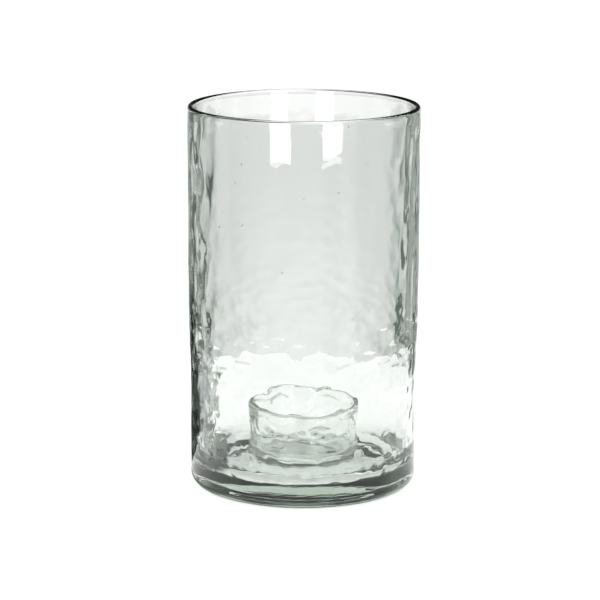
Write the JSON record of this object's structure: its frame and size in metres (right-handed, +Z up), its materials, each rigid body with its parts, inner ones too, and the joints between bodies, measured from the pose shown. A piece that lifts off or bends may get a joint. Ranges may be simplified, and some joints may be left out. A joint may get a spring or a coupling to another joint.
{
  "type": "hurricane candle lantern",
  "caption": "Tall straight-sided blown glass hurricane lantern, open at the top, with a thick base and a loose glass cup on its floor that holds the candle.",
  "frame": {"origin": "centre of the underside, on the surface the lantern stands on", "axes": "+Z up along the cylinder's axis; the lantern is round, so +X and +Y are any two level directions"},
  "size_m": [0.15, 0.15, 0.25],
  "materials": {
    "blown_glass": "clear, faintly green-grey, gloss, rippled by hand blowing",
    "cup_glass": "clear, gloss, uneven hand-cut rim"
  },
  "bodies": {
    "hurricane_glass": {"hurricane_glass": "blown_glass"},
    "candle_cup": {"candle_cup": "cup_glass"}
  },
  "joints": [
    {"name": "cup_lift", "type": "slide", "parent": "hurricane_glass", "child": "candle_cup", "axis": [0, 0, 1], "range_m": [0, 0.25]}
  ]
}
